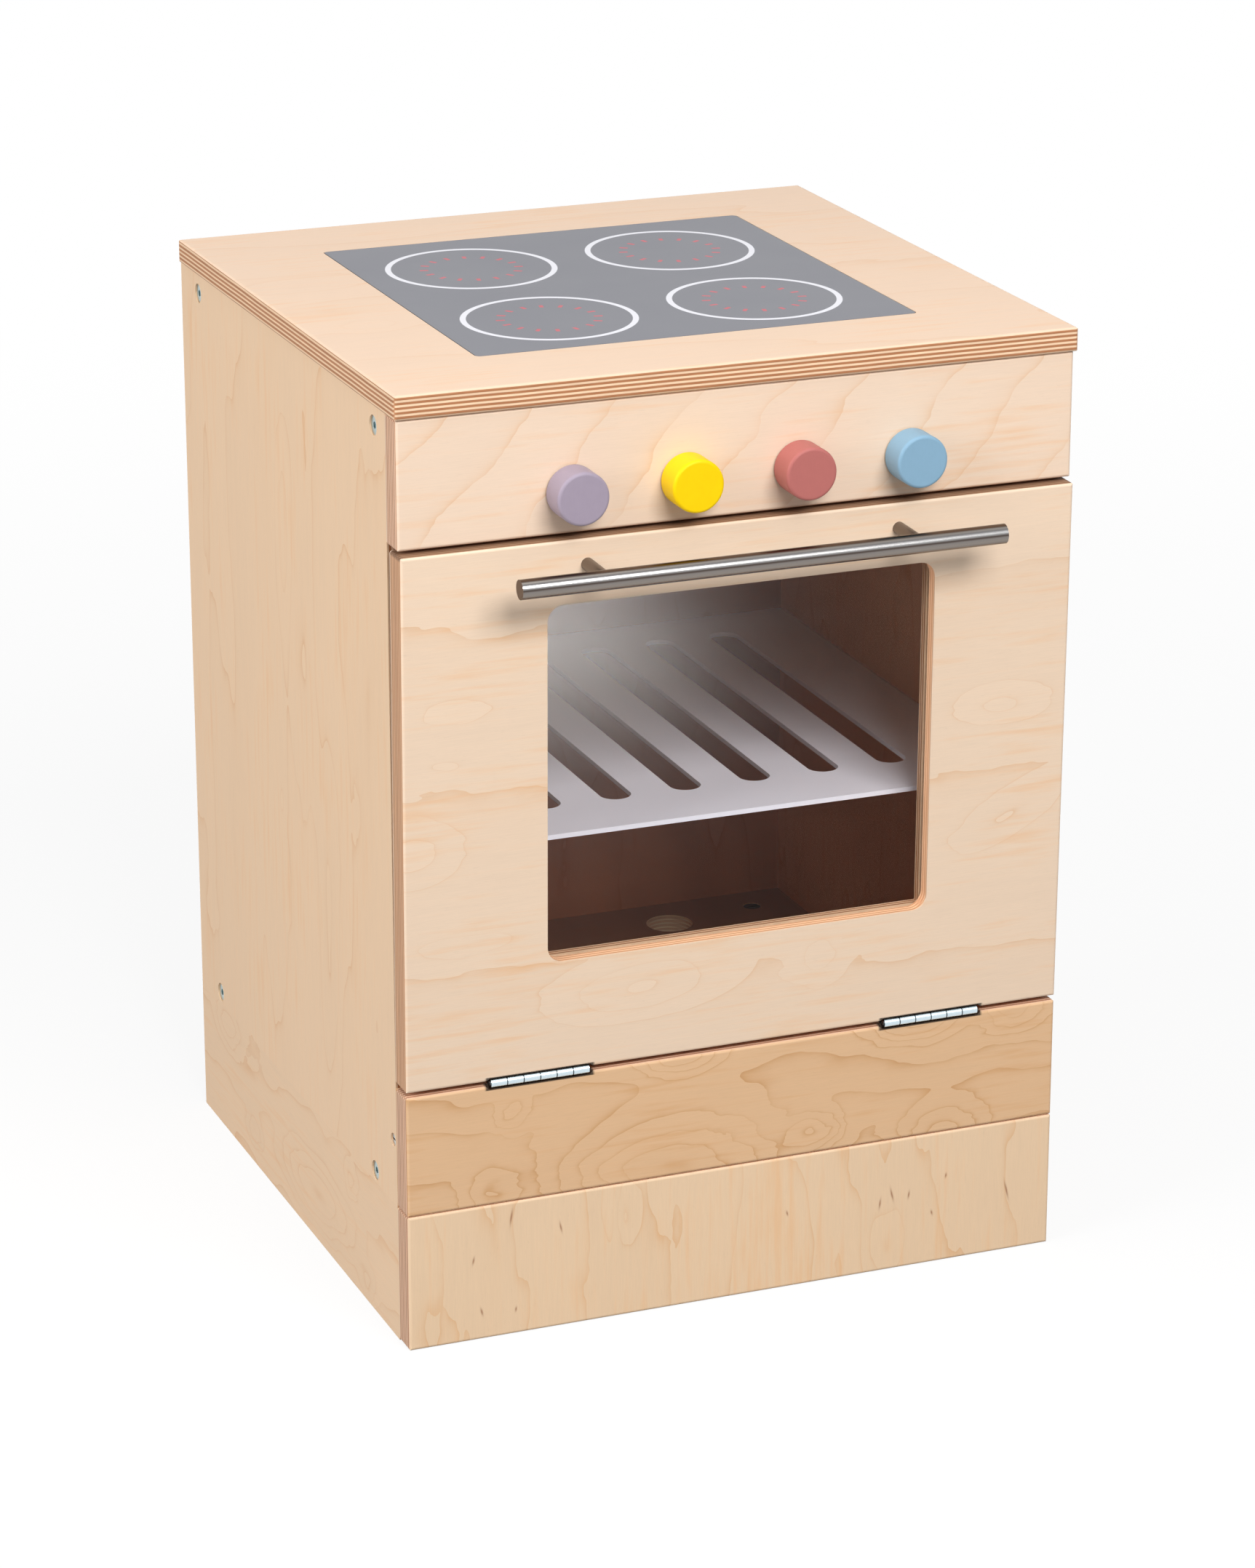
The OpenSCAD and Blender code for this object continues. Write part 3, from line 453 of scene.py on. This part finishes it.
def hinge_metal(name, colour):
    """Zinc-plated hinge with a dark gap round it between every two knuckles."""
    f = Finish(name, Metallic=1.0)
    x, y, z = f.place()
    pitch = 2 * HINGE_HALF / KNUCKLES
    turn = f.math("FRACT", (abs(x) - (HINGE_X - HINGE_HALF)) / pitch)
    gap = f.ramp(abs(turn - 0.5) * pitch, pitch / 2 - 0.5, pitch / 2 - 0.25)
    spots = f.noise(x / 2, y / 2, z / 2, 3.0, 0.6)
    f.set(Base_Color=f.shade(colour, (1 + spots * 0.12) * (1 - gap * 0.8)),
          Roughness=0.28 + spots * 0.12, Normal=f.bump(spots + 0.5, 0.01))
    return f.material


def bar_metal(name):
    """Brushed steel bar with painted reflections: dark and light bands and a highlight by the surface's direction,
    and dull sawn ends.
    """
    f = Finish(name, Metallic=1.0)
    x, y, z = f.place(turn=(LEAN, 0, 0))
    facing = f.facing()
    # painted reflections and a painted highlight: colour bands by how far the surface faces up or down
    painted_bands = ((0.03, srgb(92, 78, 66)), (0.3, srgb(142, 134, 127)), (0.46, srgb(136, 130, 126)),
             (0.56, srgb(76, 64, 58)), (0.7, srgb(174, 174, 174)), (0.82, srgb(118, 116, 116)),
             (0.9, srgb(144, 138, 132)), (0.96, srgb(96, 82, 72)))
    mirrored = f.node("ValToRGB", {"stops": painted_bands}, Fac=facing[Z] * 0.5 + 0.5).outputs[0]
    end = f.ramp(abs(facing[X]), 0.8, 0.95)
    brushed = f.noise(x / 40, y / 0.3, z / 0.3, 3.0, 0.7)
    sawn = f.noise(x / 0.5, y / 3, z / 0.2, 3.0, 0.6)
    colour = f.blend(end, mirrored, srgb(112, 97, 86))
    f.set(Base_Color=f.shade(colour, 1 + brushed * 0.12 + sawn * 0.05),
          Roughness=0.22 + end * 0.35 + brushed * 0.08, Normal=f.bump(brushed + 0.5, 0.001))
    return f.material


def clear_sheet(name):
    """Clear acrylic: see-through, with a thin soft gloss that grows as it is seen edge-on."""
    f = Finish(name, Base_Color=(1.0, 0.99, 0.97, 1.0), Metallic=1.0)
    x, y, z = f.place()
    smear = f.noise(x / 30, y / 30, z / 12, 3.0, 0.6)
    f.set(Roughness=0.18 + smear * 0.06)
    through = f.node("BsdfTransparent", Color=(0.98, 0.975, 0.97, 1.0))
    edge_on = Value(f, f.node("LayerWeight", Blend=0.5).outputs["Facing"])
    f.show(0.005 + (edge_on ** 5) * 0.6, through, f.shader)
    return f.material


def give(material, *nodes):
    """Puts a material on CAD nodes, in every slot they have."""
    for name in nodes:
        mesh = frame["nodes"][name].data
        mesh.materials.clear()
        mesh.materials.append(material)


# ---------------------------------------------------------------------------------------------
# Boards: the seen faces have their slopes, hills and flecks where the photographed ones do

give(plywood("worktop_ply", "worktop", Z, X, base=srgb(236, 207, 181), slope=(80, 1200),
             swell=(0.5, 260, 60), ripple=(0.2, 50, 14), seed=3.1, strength=0.3,
             hills=((-177, -50, 34, 22, 1.4), (-187, 60, 60, 24, 1.2))), "worktop")
give(plywood("control_panel_ply", "control_panel", Y, X, base=PALE, slope=(-66, 56),
             swell=(0.22, 90, 60), ripple=(0.24, 24, 18), seed=11.0, strength=0.42,
             edge=SOFT_EDGE), "control_panel")
# door: its top edge darkened as painted shade, and its hinge pockets blackened as painted shade
give(plywood("door_ply", "door_panel", Y, X, slope=(120, 2500), swell=(0.16, 260, 70),
             ripple=(0.14, 34, 12), seed=21.0, strength=0.42, leaning=True, edge=DOOR_EDGE,
             dim_and_top_shade=(0.76, 0.4), shade_pockets=True,
             hills=((-182, 70, 36, 13, 1.3), (-190, 37, 22, 8, 1.3), (-212, -17, 46, 30, 1.6),
                    (173, 31, 56, 24, 1.7), (-66, -121, 82, 28, 2.2, 3), (52, -118, 26, 26, 1.4),
                    (-178, -78, 70, 16, 1.2), (175, -44, 60, 22, 1.3, 28))), "door_panel")
# lower rail: its hinge pockets blackened as painted shade
give(plywood("lower_rail_ply", "lower_rail", Y, X, base=TAN, line=srgb(194, 138, 80),
             slope=(24, 600), swell=(0.5, 80, 36), ripple=(0.16, 18, 9), seed=31.0, strength=0.62,
             shade_pockets=True, edge=SOFT_EDGE,
             hills=((-148, 18, 17, 19, 1.7), (-40, -40, 140, 66, 6.5), (52, -24, 28, 19, 2.4),
                    (-162, -34, 30, 30, 2.4), (-38, 42, 44, 26, 3.0), (120, 42, 50, 28, 3.6),
                    (188, 40, 36, 30, 3.0), (139, -42, 54, 36, 4.2))), "lower_rail")
give(plywood("plinth_front_ply", "plinth_front", Y, Z, base=srgb(236, 206, 172), slope=(48, 240),
             swell=(0.55, 110, 26), ripple=(0.3, 26, 13), seed=43.0, strength=0.5,
             edge=SOFT_EDGE,
             hills=((24, -74, 36, 14, 1.5), (-26, 103, 44, 26, 1.6), (30, -84, 40, 10, -1.1)),
             flecks=((34, -149, 6), (22, -117, 4), (9, -174, 3), (-26, -169, 3), (-28, -147, 2),
                     (6, 34, 2), (2, 98, 4), (7, 106, 5), (5, 118, 3), (-3, 186, 7), (14, 143, 2),
                     (-10, 134, 2))), "plinth_front")
give(plywood("side_ply", "left_side", X, Z, base=WARM, slope=(130, 520), swell=(0.62, 210, 44),
             ripple=(0.26, 40, 20), seed=51.0, strength=0.62, inner=(X, 1),
             hills=((-59, 12, 22, 8, 1.1), (60, -40, 150, 50, 1.4), (120, -4, 110, 24, -1.6),
                    (-90, -80, 200, 40, 1.6))), "left_side")
give(plywood("right_side_ply", "right_side", X, Z, base=WARM, slope=(130, 520),
             swell=(0.62, 210, 44), ripple=(0.26, 40, 20), seed=55.0, strength=0.62,
             inner=(X, -1), hills=((40, 70, 200, 50, 1.6), (-80, -60, 180, 50, 1.4))), "right_side")
give(plywood("plinth_left_ply", "plinth_left", X, Y, base=WARM, slope=(40, 900),
             swell=(0.5, 80, 36), ripple=(0.3, 24, 10), seed=61.0, strength=0.55, edge=SOFT_EDGE,
             hills=((-110, 24, 22, 20, 2.0), (-43, -12, 110, 40, 4.2), (90, -22, 28, 19, 2.2),
                    (144, 32, 44, 22, 2.6), (-140, -34, 30, 22, 2.0))), "plinth_left")
give(plywood("plinth_right_ply", "plinth_right", X, Y, base=WARM, slope=(40, 900),
             swell=(0.6, 90, 40), ripple=(0.3, 30, 12), seed=65.0, strength=0.42,
             hills=((100, 10, 100, 34, 3.2), (-90, -10, 60, 26, 2.4))), "plinth_right")
# back panel and floor: their inside faces darkened and reddened as painted shade
give(plywood("back_ply", "back_panel", Y, Z, base=WARM, slope=(110, 420), swell=(0.6, 230, 46),
             ripple=(0.26, 44, 20), seed=71.0, strength=0.62, inner=(Y, -1),
             inside_shade=(0.62, 0.34, 0.26, 1.0),
             hills=((60, 60, 220, 50, 2.0), (-80, -90, 200, 50, 1.8))), "back_panel")
give(plywood("plinth_back_ply", "plinth_back", Y, X, base=WARM, slope=(34, 900),
             swell=(0.6, 110, 40), seed=75.0, strength=0.42), "plinth_back")
# floor: its layers painted paler, as painted light on the wall of its hole
give(plywood("floor_ply", "oven_floor", Z, X, base=WARM, slope=(50, 900), seed=81.0,
             strength=0.4, edge=PAINTED_LIGHT_EDGE, inner=(Z, 1), inside_shade=(0.40, 0.27, 0.24, 1.0)),
     "oven_floor")
give(plywood("bead_ply", "bead_top", Y, X, slope=(30, 900), seed=85.0, leaning=True),
     "bead_top", "bead_bottom")
give(plywood("side_bead_ply", "bead_left", Y, Z, slope=(30, 900), seed=87.0, leaning=True),
     "bead_left", "bead_right")
give(solid_beech("rail_beech", X), "top_front_rail", "top_back_rail", "rail_batten")
give(solid_beech("block_beech", Z), "front_left_block", "front_right_block", "back_left_block",
     "back_right_block")

# ---------------------------------------------------------------------------------------------
# Fittings

give(metal("zinc_plate", srgb(196, 208, 214), 0.30, (3, 3), relief=0.008),
     *(row["node"] for row in frame["record"]["subparts"] if row["material_slot"] == "zinc"))
give(metal("bolt_plate", srgb(176, 194, 196), 0.32, (2, 2), relief=0.006), "connector_bolts")
give(metal("nut_plate", srgb(92, 86, 88), 0.5, (2, 2), relief=0.006), "barrel_nuts")
give(hinge_metal("hinge_plate", srgb(210, 226, 234)), "left_hinge_rail_leaf",
     "left_hinge_door_leaf", "right_hinge_rail_leaf", "right_hinge_door_leaf")
give(metal("magnet_plate", srgb(150, 152, 158), 0.4, (2, 2)), "catch_magnets")
give(bar_metal("brushed_bar"), "handle_bar")
give(metal("brushed_post", srgb(122, 112, 104), 0.34, (30, 0.3), along=Y, streak=0.14,
           relief=0.0015), "handle_post_left", "handle_post_right")
give(hob_print("hob_print"), "hob_panel")
give(lacquered_sheet("white_sheet", srgb(242, 243, 255)), "oven_shelf")
give(lacquered_sheet("nylon", srgb(228, 224, 214)), "knob_front_washers")
give(clear_sheet("clear_acrylic"), "window_pane")
for colour_name, colour in (("lilac", srgb(163, 151, 168)), ("yellow", srgb(252, 212, 0)),
                            ("rose", srgb(184, 110, 105)), ("blue", srgb(136, 173, 198))):
    give(painted_wood(colour_name + "_paint", colour), "knob_" + colour_name)

# ---------------------------------------------------------------------------------------------
# Floor, light and camera


def white_world():
    """Soft grey light from all round; the camera, gloss and glass see plain white."""
    world = bpy.data.worlds.new("studio")
    bpy.context.scene.world = world
    world.use_nodes = True
    w = Graph(world.node_tree, "World Output")
    ambient = w.tree.nodes["Background"]
    ambient.inputs["Color"].default_value = (0.93, 0.96, 1.0, 1.0)
    ambient.inputs["Strength"].default_value = 0.22
    white = w.node("Background", Color=(1.0, 1.0, 1.0, 1.0), Strength=1.0)
    w.show(w.looked_at(), ambient, white)


def pale_floor():
    """White floor with the object's shadow, growing into plain white away from the object.

    The camera, gloss and glass see a share of plain white that grows from `near` within `beside`
    mm of the middle to 1 at `far_off` mm; light bouncing off the floor sees a duller grey.
    """
    reach = 14.0
    near, beside, far_off = 0.88, 500.0, 2400.0
    mesh = bpy.data.meshes.new("floor")
    corners = [(-reach, -reach, 0), (reach, -reach, 0), (reach, reach, 0), (-reach, reach, 0)]
    mesh.from_pydata(corners, [], [(0, 1, 2, 3)])
    floor = bpy.data.objects.new("floor", mesh)
    bpy.context.scene.collection.objects.link(floor)
    f = Finish("floor_white", Roughness=0.9, Specular_IOR_Level=0.0)
    seen = f.looked_at()
    f.set(Base_Color=f.blend(seen, (0.25, 0.25, 0.25, 1.0), (0.92, 0.92, 0.92, 1.0)))
    x, y, z = f.place()
    far = f.math("SQRT", x * x + y * y)
    glow = f.node("Emission", Color=(1.0, 1.0, 1.0, 1.0), Strength=1.0)
    f.show(seen * f.ramp(far, beside, far_off, near, 1.0), f.shader, glow)
    mesh.materials.append(f.material)


def soft_light(name, place, target, size, radiance, colour=(1, 1, 1)):
    """Rectangular studio light at place, turned to target; its power is radiance * pi * area."""
    light = bpy.data.lights.new(name, "AREA")
    light.shape = "RECTANGLE"
    light.size, light.size_y = size
    light.energy = radiance * math.pi * size[0] * size[1]
    light.color = colour
    lamp = bpy.data.objects.new(name, light)
    bpy.context.scene.collection.objects.link(lamp)
    lamp.location = place
    away = np.array(place, float) - np.array(target, float)
    flat = math.hypot(away[0], away[1])
    lamp.rotation_euler = (math.atan2(flat, away[2]), 0, math.atan2(away[0], -away[1]))
    return lamp


def pane_light():
    """Lamp just above the floor in front, facing up, that only the pane's gloss shows."""
    x, y = -0.145, -1.75
    lamp = soft_light("pane", place=(x, y, 0.02), target=(x, y, 1.0), size=(1.1, 1.1), radiance=68.0)
    only = bpy.data.collections.new("pane_only")
    only.objects.link(frame["nodes"]["window_pane"])
    lamp.light_linking.receiver_collection = only


def photo_camera():
    """Camera where the photograph was taken from, with its focal length in image pixels."""
    focal_px, yaw, pitch = 6884.4, math.radians(-21.728), math.radians(19.390)
    data = bpy.data.cameras.new("camera")
    data.sensor_width = 36.0
    data.lens = focal_px / max(IMAGE_W, IMAGE_H) * data.sensor_width
    data.clip_end = 50
    camera = bpy.data.objects.new("camera", data)
    bpy.context.scene.collection.objects.link(camera)
    camera.location = (-1.1166, -2.8062, 1.3407)
    camera.rotation_euler = (math.pi / 2 - pitch, 0, yaw)
    bpy.context.scene.camera = camera


white_world()
pale_floor()
soft_light("key", place=(0.15, -2.80, 2.54), target=(0, -0.17, 0.35), size=(2.0, 1.2),
           radiance=13.4, colour=(1.0, 0.985, 0.97))
soft_light("top", place=(-0.3, -0.6, 3.3), target=(0, 0, 0.5), size=(2.2, 2.2), radiance=1.0)
soft_light("left", place=(-3.3, -0.7, 1.9), target=(0, 0, 0.3), size=(2.2, 2.2),
           radiance=5.7, colour=(1.0, 0.985, 0.965))
pane_light()
photo_camera()
bpy.context.scene.view_settings.view_transform = "Standard"
